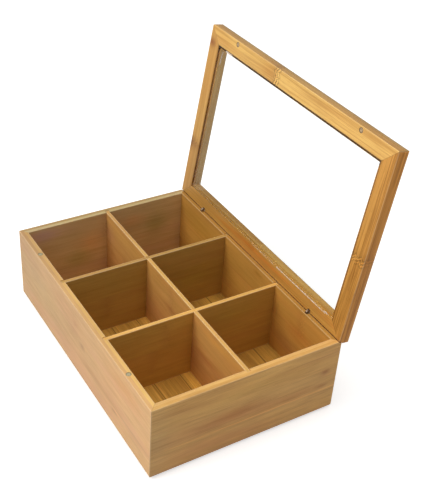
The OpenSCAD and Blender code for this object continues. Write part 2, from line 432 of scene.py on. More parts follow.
wave = sub(grain(60, 420, 2), 0.5)
zig = calc(t, "FRACT", mul_add(wave, 1.5, calc(t, "DIVIDE", y, ZIG_PITCH)))
zig = mul_add(absolute(sub(zig, 0.5)), 4 * ZIG_HEIGHT, -ZIG_HEIGHT)
zig = mul_add(wave, 0.003, zig)
scatter = mul(mul(own_3, given["Knuckle Scatter"]), given["Knuckle Pitch"])
along = add(sub(x, given["Knuckle At"]), scatter)


def from_knuckle(place):
    """How far a point is from its strip's nearest knuckle, and its length of cane."""
    turns = calc(t, "DIVIDE", place, given["Knuckle Pitch"])
    off = sub(turns, calc(t, "ROUND", turns))
    return mul(off, given["Knuckle Pitch"]), calc(t, "FLOOR", turns)


def lines_beside(place, lines):
    """Several bell curves added up: (centre, width, strength) each."""
    total = 0.0
    for centre, width, strength in lines:
        total = mul_add(bell(place, centre, width), strength, total)
    return total


straight, _ = from_knuckle(along)
jagged, joint = from_knuckle(add(along, zig))
pale = lines_beside(jagged, PALE_LINES)
brown = lines_beside(jagged, BROWN_LINES)
shaded = bell(straight, -0.002, mul_add(wave, 0.006, 0.0055))
print("zigzag pitch", ZIG_PITCH * 1000, "mm")

# %% [markdown]
# ## Bamboo fibres
# The fibres come in several widths, from soft bands a few centimetres across
# to hair lines. Each strip and each length of cane between two knuckles
# shifts the noise, so that no two are alike. Shorten makes all of them
# shorter at once.

# %% Bamboo group: fibres
# Each length of cane has noise of its own, and fibres bend at a knuckle.
start = mul_add(own, 57, mul(joint, 7.3))
y_bent = mul_add(bell(straight, 0.0, 0.004), mul(wave, 0.002), y)


def fibres(length_scale, width_scale, detail):
    """Fibres: a larger scale makes them shorter or thinner."""
    return noise(t, pack(
        t, mul_add(mul(x, given["Shorten"]), length_scale, start),
        mul_add(y_bent, width_scale, mul_add(own_2, 31, mul(joint, 3.1))),
        mul_add(z, width_scale, given["Seed"])), detail)


broad = fibres(3.2, 52, 2)
middle = fibres(6.0, 260, 3)
fine = fibres(16, 1500, 2)
pores = ramp(t, fibres(75, 2300, 1), 0.63, 0.74)
lines = ramp(t, fibres(2.2, 620, 1), 0.60, 0.72)

tone = 0.0
for layer, weight in ((broad, 1.3), (middle, 1.7), (fine, 1.5)):
    tone = add(mul_add(layer, weight, -weight / 2), tone)
tone = mul_add(pores, 0.35, tone)
tone = mul_add(tone, given["Streaks"], 0.42)
tone = mul_add(lines, given["Long Lines"], tone)
print("fibres joined,", len(t.nodes), "nodes so far")

# %% [markdown]
# ## Bamboo colour
# The tone picks a colour between Light and Dark, and patches and knuckles
# are redder. Then come the tints of the board's parts. Z is measured through
# the board: from the middle of the box for a wall, and up from the floor for
# the lid. So Ply At parts the inner layer of a wall from its outer one, and
# the underside of the lid from the rest, and the far tint is for what lies Far
# From beyond it. On the lid the inner tint is for the sides of the window
# opening and the roof tint for the top faces. The outer, far, roof and inner
# tints are mostly painted light and shade: the lid's outer sides are painted
# darker and the back wall's outer layer lighter, the lid's rounded far edges
# get a painted sheen, and its tops and the sides of the window painted light.

# %% Bamboo group: colour
PLY_BLUR = 0.00015                    # half the width of the step between two layers
ROOF_FROM, ROOF_TO = 0.0122, 0.0125   # the lid's top, measured up from Ply At
SIDE_FROM, SIDE_TO = 0.0015, 0.0055   # the opening's sides, measured in the same way

colour = blend_colours(t, clamped(t, tone), given["Light"], given["Dark"])
patch = ramp(t, grain(7, 46, 2, mul(own_3, 19)), 0.45, 0.72)
patch = add(mul(patch, given["Red Patches"]), mul(shaded, given["Knuckle Shade"]))
colour = blend_colours(t, clamped(t, patch), colour, given["Red"])

level = sub(absolute(z), given["Ply At"])
depth = ramp(t, level, -PLY_BLUR, PLY_BLUR, 1.0, 0.0)
opening = calc(t, "LESS_THAN", absolute(y), given["Inner At"])
far = ramp(t, level, given["Far From"], given["Far To"])
for tint, mask in (
        ("Ply Tint", depth),
        ("Outer Tint", sub(1.0, depth)),
        ("Far Tint", mul(far, sub(1.0, opening))),
        ("Roof Tint", ramp(t, level, ROOF_FROM, ROOF_TO)),
        ("Inner Tint", mul(opening, ramp(t, level, SIDE_FROM, SIDE_TO, 0.35, 1.0)))):
    colour = blend_colours(t, mask, colour, given[tint], "MULTIPLY")
print("bamboo colours joined")

# %% [markdown]
# ## Bamboo brightness
# Strip tone, glue seams, knuckles and soft clouds change the brightness, a
# painted highlight makes the top paler, and a painted falloff of the light
# makes a board brighter towards one end. The pores and seams are also a
# little lower than the rest, which Height tells.

# %% Bamboo group: brightness, roughness and height
SEAM_FROM, SEAM_TO = 0.0001, 0.0007   # a glue seam fades over this distance
TOP_BLUR = 0.0006                     # and the painted highlight on the top over this one
PALE_GAIN, BROWN_LOSS, SHADE_LOSS = 0.28, 0.50, 0.3

gain = mul_add(sub(own_2, 0.5), given["Strip Contrast"], 1.0)
# painted falloff of the light along the board
gain = mul_add(x, given["Drift"], gain)
# painted highlight on the top of the board
top = ramp(t, y, sub(given["Top At"], TOP_BLUR), given["Top At"])
gain = mul_add(top, given["Top Gain"], gain)
to_seam = mul(sub(0.5, absolute(sub(inside, 0.5))), given["Strip Width"])
seam = ramp(t, to_seam, SEAM_FROM, SEAM_TO, 1.0, 0.0)
gain = sub(gain, mul(seam, given["Seam"]))
clear = mul(given["Knuckle"], mul_add(depth, 0.7, 0.3))
gain = add(gain, mul(pale, mul(clear, PALE_GAIN)))
gain = sub(gain, mul(brown, mul(clear, BROWN_LOSS)))
gain = sub(gain, mul(shaded, mul(given["Knuckle Shade"], SHADE_LOSS)))
gain = add(gain, mul(sub(grain(16, 34, 3), 0.5), given["Clouds"]))
shade = t.nodes.new("ShaderNodeVectorMath")
shade.operation = "SCALE"
t.links.new(colour, shade.inputs[0])
t.links.new(gain, shade.inputs["Scale"])
t.links.new(shade.outputs[0], result["Color"])

rough = mul_add(middle, 0.16, mul_add(pores, 0.10, 0.40))
t.links.new(rough, result["Roughness"])
height = mul_add(fine, 0.35, mul(middle, 0.35))
height = sub(height, mul(pores, 0.4))
height = sub(height, mul(seam, 0.6))
t.links.new(mul_add(brown, -0.3, height), result["Height"])
print("bamboo group:", len(t.nodes), "nodes")

# %% [markdown]
# ## Marks in the cane
# A real board also has marks of its own: a reddish heart band, a spot where a
# leaf grew, a long vessel that filled with dark lacquer. Other marks are
# painted light and shade: a painted sheen on some inner faces, painted light
# on the tops of the dividers and behind the pane, and painted shade lines
# under the open lid and in the window's step. Some make inner faces lighter
# near the top and darker lower down. One small group makes a soft patch of any
# length and width at any place, with a ragged rim from noise. Each board lists
# its marks as (place along the fibres, place across them, half length, half
# width, tint). The first four are in millimetres, and the tint multiplies the
# wood's red, green and blue.

# %% Mark group
mark, given, result = new_group(
    "cane_mark", {"Vector": None, "Along": 0.0, "Across": 0.0, "Half Length": 0.01,
                  "Half Width": 0.002, "Ragged": 0.7}, {"Mask": "NodeSocketFloat"})
add, sub, mul, mul_add, absolute = sums(mark)
x, y, z = unpack(mark, given["Vector"])
rough_x = noise(mark, pack(mark, mul(x, 130), mul(y, 420), z), 2)
rough_y = noise(mark, pack(mark, mul(x, 45), mul(y, 160), 3.7), 2)
total = 0.0
for value, at, half, rough in ((x, "Along", "Half Length", rough_x),
                               (y, "Across", "Half Width", rough_y)):
    value = calc(mark, "DIVIDE", sub(value, given[at]), given[half])
    value = mul_add(sub(rough, 0.5), given["Ragged"], value)
    total = mul_add(value, value, total)
mark.links.new(calc(mark, "EXPONENT", mul(total, -1)), result["Mask"])
print("mark group:", len(mark.nodes), "nodes")

# %% [markdown]
# ## Mitres and worn edges
# The boards of the box and of the lid meet in mitres, which show as a hair
# line at 45 degrees. In the inner corners of the box the same dark line also
# stands for the shade in the corner, as painted shade. Handled edges are a
# little paler, because sanding and touch thin the lacquer there. Both are
# measured from a point's place in the board: the mitre from the corner of the
# box, which is at Half Length and Half Depth, and an edge from the second
# nearest face of the board.

# %% Mitre and edge groups
mitre, given, result = new_group(
    "mitre_line", {"Vector": None, "Half Length": 0.145, "Half Depth": 0.0965,
                   "Width": 0.0003}, {"Line": "NodeSocketFloat"})
add, sub, mul, mul_add, absolute = sums(mitre)
x, y, z = unpack(mitre, given["Vector"])
gap = sub(sub(absolute(x), given["Half Length"]), sub(absolute(y), given["Half Depth"]))
gap = calc(mitre, "DIVIDE", absolute(gap), math.sqrt(2))
line = ramp(mitre, gap, mul(given["Width"], 0.35), given["Width"], 1.0, 0.0)
mitre.links.new(line, result["Line"])

edges, given, result = new_group(
    "edge_touch", {"Vector": None, "Half Size": None, "Reach": 0.0012},
    {"Mask": "NodeSocketFloat"})
add, sub, mul, mul_add, absolute = sums(edges)
sizes, places = unpack(edges, given["Half Size"]), unpack(edges, given["Vector"])
a, b, c = [sub(size, absolute(place)) for size, place in zip(sizes, places)]
second = calc(edges, "MAXIMUM", calc(edges, "MINIMUM", a, b),
              calc(edges, "MINIMUM", calc(edges, "MAXIMUM", a, b), c))
edges.links.new(ramp(edges, second, 0.0003, given["Reach"], 1.0, 0.0), result["Mask"])
print("mitre and edge groups ready")

# %% [markdown]
# ## The rebate of the window
# The pane lies in a step cut round the window opening. The step lies in
# shade, and that shade is painted here together with the glue at its bottom,
# so each side of the window has a thin dark line next to the pane. The mask is
# strongest at the side of the step and fades across its bottom, and the inner
# sides of the frame above it stay clean.

# %% Rebate group
rebate, given, result = new_group(
    "window_rebate", {"Vector": None, "Half Length": 0.1285, "Half Depth": 0.080,
                      "Level": 0.085, "Reach": 0.0016, "Lip": 0.0006},
    {"Mask": "NodeSocketFloat"})
add, sub, mul, mul_add, absolute = sums(rebate)
x, y, z = unpack(rebate, given["Vector"])
past = calc(rebate, "MAXIMUM", sub(absolute(x), given["Half Length"]),
            sub(absolute(y), given["Half Depth"]))
blot = noise(rebate, pack(rebate, mul(x, 110), mul(y, 110), 0.0), 2)
reach = mul(given["Reach"], mul_add(blot, 0.9, 0.55))
near_side = ramp(rebate, mul(past, -1), mul(reach, 0.6), reach, 1.0, 0.0)
lip = ramp(rebate, past, mul(given["Lip"], 0.7), given["Lip"], 1.0, 0.0)
low = ramp(rebate, sub(z, given["Level"]), 0.0001, 0.0006, 1.0, 0.0)
rebate.links.new(mul(mul(near_side, lip), low), result["Mask"])
print("rebate group ready")

# %% [markdown]
# ## Directions
# Each board's fibres run along its length. A Mapping node turns the object's
# own coordinates so that X runs along the fibres and Y across the strips.
# The lid stands open, so its coordinates are first turned back about the
# hinge line as if it were shut, which keeps one set of numbers for both.

# %% Directions
hinge = next(j for j in frame["record"]["behaviour"]["joints"] if j["name"] == "lid_hinge")
hinge_line = Vector(hinge["pos_m"])
shut = Matrix.Rotation(math.radians(hinge["range_deg"][1]), 3, "X")

WALL_X = Matrix(((1, 0, 0), (0, 0, 1), (0, -1, 0)))   # fibres along X, strips stacked up
WALL_Y = Matrix(((0, 1, 0), (0, 0, 1), (1, 0, 0)))    # fibres along Y, strips stacked up
FLAT_X = Matrix(((1, 0, 0), (0, 1, 0), (0, 0, 1)))    # fibres along X, lying flat
FLAT_Y = Matrix(((0, 1, 0), (-1, 0, 0), (0, 0, 1)))   # fibres along Y, lying flat


def mapped(tree, rotation, shift):
    """Object coordinates, turned by rotation and then shifted."""
    source = tree.nodes.new("ShaderNodeTexCoord")
    mapping = tree.nodes.new("ShaderNodeMapping")
    mapping.inputs["Rotation"].default_value = rotation.to_euler("XYZ")
    mapping.inputs["Location"].default_value = shift
    tree.links.new(source.outputs["Object"], mapping.inputs["Vector"])
    return mapping.outputs["Vector"]


def resting_place(name):
    """The rotation and shift that bring a node's points to the shut lid or box."""
    if name not in frame["record"]["behaviour"]["bodies"]["lid"]:
        return Matrix.Identity(3), Vector((0, 0, 0))
    return shut, hinge_line - shut @ hinge_line


def board_size(name):
    """Centre and half size of a board, measured with the lid shut."""
    turn, shift = resting_place(name)
    points = [turn @ v.co + shift for v in frame["nodes"][name].data.vertices]
    low = Vector([min(p[i] for p in points) for i in range(3)])
    high = Vector([max(p[i] for p in points) for i in range(3)])
    return (low + high) / 2, (high - low) / 2


print("hinge line at", [round(v, 4) for v in hinge_line])

# %% [markdown]
# ## The boards' material
# Every board gets a material of its own from one recipe: bamboo strips,
# darkened at the mitre, paler at the edges, under a satin lacquer. On the lid
# the step round the window also gets painted shade. The strips' Height goes
# through a Bump node, so the fibres catch the light.

# %% Board material
WORN_EDGE = (0.95, 0.74, 0.47, 1)
# a glue line, and in the box's inner corners painted shade
MITRE_GLUE = (0.10, 0.045, 0.015, 1)
# painted shade of the window's step, mixed with the glue at its bottom
REBATE_GLUE = (0.05, 0.024, 0.005, 1)
LACQUER_GLOSS = 0.28
GRAIN_BUMP = (0.35, 0.00012)   # strength, and height in metres


def board_material(name, direction, light, dark, red, mitred=False, mitre_strength=0.35,
                   edge=0.10, rebate_dark=0.0, lip=0.0003, reach=0.0016, marks=(),
                   **values):
    """Gives a board three colours, marks, and other inputs of the bamboo group."""
    material, tree, shader = new_material(name + "_bamboo")
    turn, shift = resting_place(name)
    centre, half = board_size(name)

    fibre_space = mapped(tree, direction @ turn, direction @ shift)
    wood = use_group(tree, bamboo, fibre_space, light=light, dark=dark, red=red, **values)
    colour = wood.outputs["Color"]
    for along, across, half_length, half_width, tint in marks:
        patch = use_group(tree, mark, fibre_space, along=along / 1000, across=across / 1000,
                          half_length=half_length / 1000, half_width=half_width / 1000)
        colour = blend_colours(tree, patch.outputs[0], colour, (*tint, 1), "MULTIPLY")

    touch = use_group(tree, edges, mapped(tree, turn, shift - centre), half_size=half)
    layers = [(touch, edge, WORN_EDGE)]
    if mitred:
        line = use_group(tree, mitre, mapped(tree, turn, shift))
        layers.append((line, mitre_strength, MITRE_GLUE))
    # the rebate layer paints the shade in the step round the window
    if rebate_dark:
        step = use_group(tree, rebate, mapped(tree, turn, shift), lip=lip, reach=reach)
        layers.append((step, rebate_dark, REBATE_GLUE))
    for mask, strength, layer_colour in layers:
        amount = calc(tree, "MULTIPLY", mask.outputs[0], strength)
        colour = blend_colours(tree, amount, colour, layer_colour)

    finish_surface(tree, shader, colour, wood.outputs["Roughness"], wood.outputs["Height"],
                   *GRAIN_BUMP)
    shader.inputs["Specular IOR Level"].default_value = LACQUER_GLOSS
    dress(frame["nodes"][name], material)
    print(name, "half size in mm", [round(v * 1000, 1) for v in half])


print("board material ready")

# %% [markdown]
# ## Walls of the box
# The four walls are glued up from three strips of about 27 mm, in two layers
# with tones of their own, which show on the rim. The front is the palest,
# and the ends show more streaks. The right end has a reddish band above its
# lower seam. A mark's place across a wall is its height above the floor, so
# the last mark of each wall is on its rim.

# %% Front and right walls
LONG_PLY, END_PLY = 0.09275, 0.14125   # from the box's middle to the glue of the layers
WALL = dict(mitred=True, strip_shift=0.0025)
# One knuckle every two metres, and that one out of sight.
NO_KNUCKLES = dict(knuckle=0.0, knuckle_shade=0.0, knuckle_at=1.0, knuckle_pitch=2.0,
                   knuckle_scatter=0.0)

# The front and right walls get a painted highlight on the rim and a painted falloff of the
# light along their length.
board_material(
    "front_wall", WALL_X,
    (0.70, 0.420, 0.172), (0.56, 0.312, 0.120), (0.66, 0.335, 0.165),
    mitre_strength=0.15, seed=3.0, streaks=0.75, strip_contrast=0.04,
    seam=0.03, red_patches=0.5, clouds=0.3, long_lines=0.2, edge=0.28,
    ply_at=LONG_PLY, ply_tint=(1.12, 1.19, 0.95), drift=0.9, shorten=4.0,
    top_at=0.0817, top_gain=0.10, marks=(
        (9, 45, 5, 2.6, (0.78, 0.71, 0.70)), (16, 47, 4, 1.3, (1.10, 1.08, 1.05)),
        (-6, 61, 6, 4, (0.90, 0.83, 0.84)), (-9, 52, 9, 3, (0.94, 0.88, 0.90)),
        (76, 22, 7, 2.2, (0.74, 0.68, 0.62)), (81, 24.5, 8, 0.9, (1.16, 1.13, 1.10)),
        (112, 27, 36, 0.9, (0.82, 0.79, 0.76)), (122, 20, 30, 0.8, (0.88, 0.86, 0.82)),
        (20, 27.5, 60, 0.9, (0.92, 0.88, 0.86)), (96, 66, 32, 9, (1.00, 0.88, 0.76)),
        (-92, 46, 50, 20, (0.96, 1.02, 0.98)), (-30, 64, 34, 10, (0.97, 0.91, 0.95)),
        (70, 44, 26, 10, (1.03, 0.98, 1.00)), (20, 30, 60, 6, (0.96, 0.91, 0.90)),
        (0, 2, 400, 3.0, (0.88, 0.88, 0.92)), (-115, 82.3, 50, 1.2, (0.82, 0.82, 0.88))),
    **NO_KNUCKLES, **WALL)
board_material(
    "right_end_wall", WALL_Y,
    (0.78, 0.443, 0.132), (0.53, 0.265, 0.072), (0.60, 0.270, 0.092),
    seed=8.0, drift=0.5, streaks=0.68, strip_contrast=0.05, seam=0.0,
    red_patches=0.3, clouds=0.3, long_lines=0.4, edge=0.2, ply_at=END_PLY,
    ply_tint=(1.06, 1.11, 1.26), top_at=0.0817, top_gain=0.22,
    shorten=3.5, marks=(
        (-22, 40, 42, 9, (0.92, 0.81, 0.72)), (-4, 42.5, 24, 4, (0.90, 0.82, 0.75)),
        (45, 34, 40, 5, (0.92, 0.83, 0.80)), (20, 29.6, 110, 0.9, (1.30, 1.30, 1.30)),
        (83, 50.5, 4.5, 3, (0.68, 0.50, 0.46)), (88, 46, 5, 1.1, (1.16, 1.12, 1.12)),
        (81, 34.5, 7, 1.9, (0.78, 0.68, 0.62)), (-30, 17, 45, 7, (0.95, 0.87, 0.90)),
        (10, 12, 40, 5, (0.94, 0.86, 0.84)), (0, 68, 70, 12, (1.00, 1.03, 0.88)),
        (-94, 40, 16, 60, (0.94, 1.01, 1.15)), (0, 2.5, 400, 3.4, (0.80, 0.76, 0.78)),
        (-60, 82.3, 50, 1.0, (0.92, 0.92, 0.90))), **NO_KNUCKLES, **WALL)

# %% [markdown]
# ## Far walls
# The two far walls are seen from inside the box, so their inner layer and
# their rims matter most.

# %% Left and back walls
FAR_WALL = dict(mitre_strength=0.12, streaks=0.6, strip_contrast=0.06, shorten=3.0,
                seam=0.06, red_patches=0.4, clouds=0.25, knuckle=0.2, edge=0.2, **WALL)

# The left end's inner layer is painted paler and bluer, and its mark high at the front bluer
# still, as painted sheen.
board_material(
    "left_end_wall", WALL_Y,
    (0.64, 0.385, 0.15), (0.49, 0.27, 0.09), (0.58, 0.30, 0.13),
    seed=5.0, ply_at=END_PLY, ply_tint=(1.22, 1.45, 1.78), marks=(
        (57, 52, 14, 15, (0.72, 0.77, 0.60)), (-35, 33, 16, 11, (0.76, 0.82, 0.66)),
        (-76, 73, 20, 8, (0.96, 0.92, 1.40)), (-20, 50, 14, 14, (1.10, 0.93, 0.84)),
        (30, 63, 14, 8, (1.10, 0.94, 0.86)), (0, 20, 400, 14, (0.94, 0.92, 1.00)),
        (0, 82.3, 400, 1.0, (0.81, 0.90, 0.89))), **FAR_WALL)
# The back wall's outer layer is painted lighter, as painted light in the shade of the gap under
# the lid.
board_material(
    "back_wall", WALL_X,
    (0.64, 0.385, 0.13), (0.49, 0.27, 0.08), (0.58, 0.29, 0.11),
    seed=6.0, ply_at=LONG_PLY, ply_tint=(1.00, 0.88, 0.52), drift=0.8,
    outer_tint=(1.5, 1.6, 1.9), far_tint=(0.67, 0.63, 0.53),
    far_from=0.0032, far_to=0.0035, marks=(
        (18, 75, 8, 2, (0.76, 0.70, 0.58)), (95, 52, 20, 10, (1.00, 0.84, 0.80)),
        (78, 28, 22, 14, (0.80, 0.72, 0.84)), (-90, 60, 40, 14, (1.08, 1.08, 0.92)),
        (0, 76, 400, 6, (1.10, 1.08, 1.10)), (-40, 40, 30, 14, (0.92, 0.90, 0.84)),
        (0, 82.3, 400, 0.9, (0.76, 0.76, 0.82))), **FAR_WALL)

# %% [markdown]
# ## Dividers
# The dividers are thinner boards of the same cane, a little more even. They
# have no mitres: their ends sit in grooves of the walls. The marks 82.2 mm
# above the floor are on their tops. They are painted light and shade, which
# make most of the tops brighter and some parts darker.

# %% Dividers
DIVIDER = dict(strip_shift=0.006, streaks=0.6, strip_contrast=0.05, clouds=0.25, seam=0.05,
               red_patches=0.4, knuckle=0.2, knuckle_pitch=0.3, edge=0.3, shorten=3.0)
board_material(
    "long_divider", WALL_X,
    (0.70, 0.390, 0.114), (0.52, 0.265, 0.062), (0.63, 0.30, 0.100),
    seed=11.0, drift=0.5, marks=(
        (0, 30, 400, 20, (0.86, 0.76, 0.82)), (0, 77, 400, 7, (1.10, 1.10, 1.04)),
        (8, 54, 15, 3, (0.84, 0.74, 0.74)), (74, 44, 16, 3, (0.82, 0.68, 0.66)),
        (97, 74, 30, 4, (1.06, 1.08, 0.92)), (-130, 60, 12, 14, (0.92, 0.88, 1.15)),
        (0, 82.2, 400, 1.0, (1.14, 1.30, 1.28)),
        (-105, 82.2, 50, 1.0, (0.76, 0.71, 0.77)),
        (95, 82.2, 50, 1.0, (1.08, 1.10, 1.18))), **DIVIDER)
board_material(
    "cross_divider_left", WALL_Y,
    (0.575, 0.362, 0.088), (0.435, 0.249, 0.049), (0.52, 0.28, 0.077),
    seed=12.0, marks=(
        (0, 82.2, 400, 1.0, (1.06, 0.93, 1.05)), (50, 82.2, 45, 1.0, (0.95, 0.94, 0.76)),
        (-30, 60, 30, 12, (0.94, 0.96, 0.94)), (55, 40, 26, 14, (0.94, 1.00, 0.80))),
    **DIVIDER)
board_material(
    "cross_divider_right", WALL_Y,
    (0.66, 0.410, 0.094), (0.50, 0.283, 0.052), (0.60, 0.32, 0.082),
    seed=14.0, marks=(
        (0, 82.2, 400, 1.2, (1.56, 1.40, 1.52)),
        (-50, 82.2, 45, 1.2, (1.14, 1.20, 1.45)),
        (40, 60, 30, 14, (0.94, 1.00, 0.86)), (-40, 40, 26, 12, (0.96, 0.95, 0.92))),
    **DIVIDER)

# %% [markdown]
# ## Floor of the box
# The bottom panel shows its strips clearly, because the glue seams are dark
# and the strips differ more in tone.

# %% Floor panel
board_material(
    "bottom_panel", FLAT_X,
    (0.70, 0.39, 0.072), (0.44, 0.215, 0.034), (0.55, 0.28, 0.05),
    strip_width=0.028, strip_shift=0.013, seed=21.0, streaks=1.1, strip_contrast=0.3,
    seam=0.6, red_patches=0.3, knuckle=0.3, clouds=0.25, edge=0.0, shorten=2.0, marks=(
        (90, -7, 60, 4, (1.25, 1.25, 1.10)), (-20, -5, 60, 4, (1.35, 1.35, 1.40)),
        (60, -28, 150, 8, (0.82, 0.80, 0.74)), (95, -28.5, 40, 0.6, (1.25, 1.25, 1.20)),
        (95, -39.2, 60, 0.7, (1.30, 1.34, 1.50)), (95, -43, 60, 0.7, (0.62, 0.56, 0.50)),
        (95, -45.2, 50, 0.7, (1.24, 1.28, 1.42)),
        (-35, -36, 40, 0.7, (1.35, 1.35, 1.40)),
        (100, 77, 40, 4.5, (1.22, 1.18, 1.10)), (100, 66, 40, 3, (1.12, 1.12, 1.05)),
        (60, 56, 150, 5, (0.80, 0.74, 0.66)), (-20, 74, 50, 6, (1.15, 1.15, 1.02))))

# %% [markdown]
# ## Lid frame
# Each rail of the lid is a single strip, so the knuckle spans it from edge
# to edge. The rails are yellower than the box, with long dark lines. On a
# stile a mark's first number runs to the back and its second to the left,
# both from the middle of the lid.

# %% Lid frame
# The rails' outer sides are painted darker and their tops lighter, as painted light and shade,
# with a painted sheen on their rounded far edges and painted shade in the steps round the
# window.
LID = dict(mitred=True, strip_width=0.4, strip_shift=0.2, strip_contrast=0.0, seam=0.0,
           knuckle_scatter=0.0, clouds=0.25, edge=0.15, shorten=1.6, ply_at=0.0829)
board_material(
    "lid_front_rail", FLAT_X,
    (0.98, 0.615, 0.175), (0.70, 0.370, 0.094), (0.75, 0.385, 0.100),
    seed=31.0, streaks=1.25, long_lines=0.5, red_patches=0.3, knuckle=1.35,
    knuckle_shade=0.3, knuckle_at=-0.029, drift=0.5, rebate_dark=0.9, lip=0.0008,
    outer_tint=(0.56, 0.485, 0.35), far_tint=(0.78, 0.92, 1.40),
    roof_tint=(1.54, 1.31, 1.04), marks=(
        (-40, -88, 9, 9, (0.90, 0.82, 0.72)), (0, -93.8, 300, 1.5, (0.90, 0.86, 0.80)),
        (-120, -88, 22, 8, (0.92, 0.84, 0.74))), **LID)
board_material(
    "lid_back_rail", FLAT_X,
    (0.65, 0.345, 0.074), (0.46, 0.205, 0.034), (0.60, 0.215, 0.040),
    seed=33.0, streaks=1.0, long_lines=0.4, red_patches=0.6, knuckle=0.0,
    knuckle_shade=0.0, drift=1.4, outer_tint=(0.80, 0.82, 0.80),
    roof_tint=(1.25, 1.25, 1.40), marks=(
        # The first mark is a painted shadow line along the lid's back edge at the right, the
        # second painted light on the inner side behind the pane.
        (122, 92.9, 36, 0.6, (0.30, 0.22, 0.15)),
        (0, 78.5, 400, 2.2, (1.13, 1.20, 1.22)),
        (-10, 84, 30, 2.2, (1.10, 0.84, 0.62)), (-50, 86, 25, 1.8, (1.06, 0.86, 0.66)),
        (40, 85, 30, 1.6, (1.10, 0.86, 0.66)), (-70, 83, 40, 1.2, (1.05, 1.08, 1.30))),
    **LID)
# The left stile's inner side is painted lighter and bluer, as painted light, and its last mark
# is a painted shade line along the window's step.
board_material(
    "lid_left_stile", FLAT_Y,
    (0.71, 0.40, 0.098), (0.50, 0.245, 0.052), (0.60, 0.26, 0.050),
    seed=35.0, streaks=0.8, long_lines=0.3, red_patches=0.4, knuckle=0.25,
    knuckle_shade=0.0, knuckle_at=0.030, drift=-1.2, rebate_dark=0.20,
    reach=0.0024, outer_tint=(0.80, 0.76, 0.66), inner_tint=(1.35, 1.60, 2.10),
    inner_at=0.1265, roof_tint=(1.16, 1.18, 1.35), marks=(
        (-79, 141, 4.5, 6, (0.55, 0.38, 0.34)), (33, 144, 7, 6, (0.45, 0.36, 0.32)),
        (33, 133, 6, 7, (0.80, 0.72, 0.62)), (0, 129.3, 300, 0.8, (0.80, 0.72, 0.60))),
    **LID)
board_material(
    "lid_right_stile", FLAT_Y,
    (0.72, 0.350, 0.073), (0.44, 0.185, 0.028), (0.54, 0.235, 0.040),
    seed=37.0, streaks=1.9, long_lines=0.9, red_patches=0.3, knuckle=1.2,
    knuckle_shade=0.3, knuckle_at=0.0095, drift=-0.6, rebate_dark=0.65, lip=0.0010,
    outer_tint=(0.95, 0.80, 0.47), far_tint=(1.16, 1.24, 1.7),
    roof_tint=(0.83, 1.03, 1.50), marks=(
        (24, -134, 8, 0.5, (0.72, 0.62, 0.50)), (27, -137, 9, 0.5, (0.70, 0.60, 0.50)),
        (22, -140, 7, 0.5, (0.72, 0.62, 0.50)), (19, -131, 6, 0.5, (0.76, 0.66, 0.55)),
        (0, -142.4, 300, 0.7, (0.90, 0.84, 0.76))), **LID)

# %% [markdown]
# ## Metal: hinge barrels, links and magnets
# The barrel hinges are turned brass and the magnets are nickel-plated. Both
# are small, so a fine cloudy noise in colour and roughness is enough to keep
# them from looking like new mirrors. Each magnet gets a dark ring painted
# round its rim.

# %% Metal
MAGNET_X, MAGNET_Y = 0.097, -0.09275      # with the lid shut; the other one is at -x
RIM_FROM, RIM_TO = 0.0014, 0.0022         # the dark ring starts this far from the middle
MAGNET_GLUE = (0.06, 0.04, 0.02, 1)
METAL_BUMP = (0.2, 0.00005)               # strength, and height in metres


def metal(name, bright, dull, low, high, scale, magnet=None, rim_dark=0.75):
    """Mottled metal from bright to dull, with roughness from low to high."""
    material, tree, shader = new_material(name)
    shader.inputs["Metallic"].default_value = 1.0
    cloud = mottle(tree, scale, 4)
    colour = blend_colours(tree, ramp(tree, cloud, 0.35, 0.65), (*bright, 1), (*dull, 1))
    if magnet:
        add, sub, mul, mul_add, absolute = sums(tree)
        turn, shift = resting_place(magnet)
        x, y, z = unpack(tree, mapped(tree, turn, shift))
        dx, dy = sub(absolute(x), MAGNET_X), sub(y, MAGNET_Y)
        away = calc(tree, "SQRT", mul_add(dx, dx, mul(dy, dy)))
        rim = ramp(tree, away, RIM_FROM, RIM_TO, 0.0, rim_dark)
        colour = blend_colours(tree, rim, colour, MAGNET_GLUE)
    rough = ramp(tree, cloud, 0.3, 0.7, low, high)
    finish_surface(tree, shader, colour, rough, cloud, *METAL_BUMP)
    return material


METALS = {   # the first key that is in a node's name gives its metal
    # The left barrels get a darker, duller copy of the brass: painted shade, together with
    # dust.
    "barrel_left": metal("dull_brass", (0.44, 0.25, 0.09), (0.28, 0.15, 0.05),
                         0.70, 0.90, 900),
    "barrel": metal("turned_brass", (0.36, 0.27, 0.18), (0.14, 0.09, 0.05), 0.55, 0.8, 900),
    "hinge_link": metal("link_brass", (0.40, 0.30, 0.22), (0.2, 0.14, 0.1), 0.3, 0.5, 900),
    "box_magnet": metal("rim_nickel", (0.46, 0.41, 0.27), (0.32, 0.28, 0.17),
                        0.5, 0.7, 1200, "box_magnet_left", 0.35),
    "lid_magnet": metal("lid_nickel", (0.50, 0.37, 0.23), (0.34, 0.24, 0.14),
                        0.4, 0.65, 1200, "lid_magnet_left")}
for name, piece in frame["nodes"].items():
    found = [METALS[key] for key in METALS if key in name]
    if found:
        dress(piece, found[0])
        print(name, found[0].name)

# %% [markdown]
# ## Window pane
# The pane is 2 mm of clear acrylic. A Principled shader with full
# transmission bends and mirrors light. Its index is set below acrylic's 1.49,
# because the whole room is white here and a true mirror image of it would
# veil the wood behind the pane. Fine scuffs come from noise in the roughness
# away from the frame, and old glue makes the outermost millimetre of the pane
# brown, but not at the back, where the glue is pale. At the front that border
# is nearly black: painted shade of the window's step, together with the glue.

# %% Pane: acrylic, scuffs and brown border
PANE_INDEX = 1.15
CLEAR = (0.96, 0.98, 0.97, 1)
BROWN_GLUE = (0.62, 0.48, 0.32, 1)
